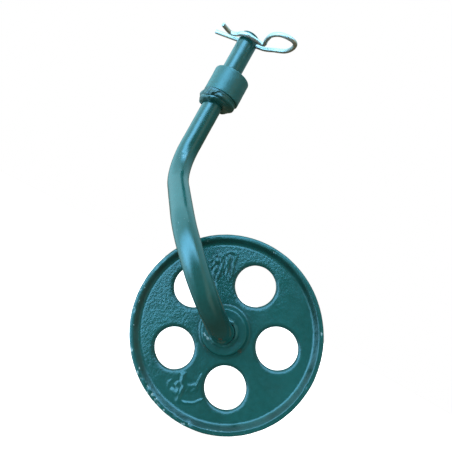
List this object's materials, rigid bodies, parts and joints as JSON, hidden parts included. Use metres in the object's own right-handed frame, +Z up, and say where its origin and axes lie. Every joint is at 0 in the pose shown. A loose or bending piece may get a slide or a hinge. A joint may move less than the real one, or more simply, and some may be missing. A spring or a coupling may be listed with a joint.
{
  "type": "trailer jack wheel",
  "caption": "Trailing jack wheel: painted cast wheel on a cranked round spindle, with stop ring, loose thrust sleeve and a hairpin clip through the top end.",
  "frame": {"origin": "on the steering axis (the shank's axis), level with the top face of the welded stop ring", "axes": "+Z up along the shank, +X towards the trailing wheel, +Y along the axle towards the side away from the crank"},
  "size_m": [0.28, 0.1175, 0.418],
  "materials": {
    "wheel_enamel": "dark green gloss enamel over rough casting",
    "bar_enamel": "dark green gloss enamel on smooth round steel",
    "zinc_plate": "bright zinc plate"
  },
  "bodies": {
    "spindle": {"spindle": "bar_enamel", "stop_ring": "bar_enamel", "stop_ring_weld": "bar_enamel", "hub_stop_washer": "bar_enamel", "hub_stop_weld": "bar_enamel", "end_washer": "zinc_plate", "split_pin": "zinc_plate"},
    "wheel": {"wheel": "wheel_enamel"},
    "sleeve": {"thrust_sleeve": "bar_enamel"},
    "clip": {"retaining_clip": "zinc_plate"}
  },
  "joints": [
    {"name": "wheel_spin", "type": "hinge", "parent": "spindle", "child": "wheel", "pos_m": [0.1354, 0, -0.232], "axis": [0, 1, 0], "continuous": true},
    {"name": "sleeve_slide", "type": "slide", "parent": "spindle", "child": "sleeve", "axis": [0, 0, 1], "range_m": [0, 0.044]},
    {"name": "clip_pull", "type": "slide", "parent": "spindle", "child": "clip", "axis": [0.9976, -0.0698, 0], "range_m": [0, 0.06], "deforming": ["retaining_clip"]}
  ]
}
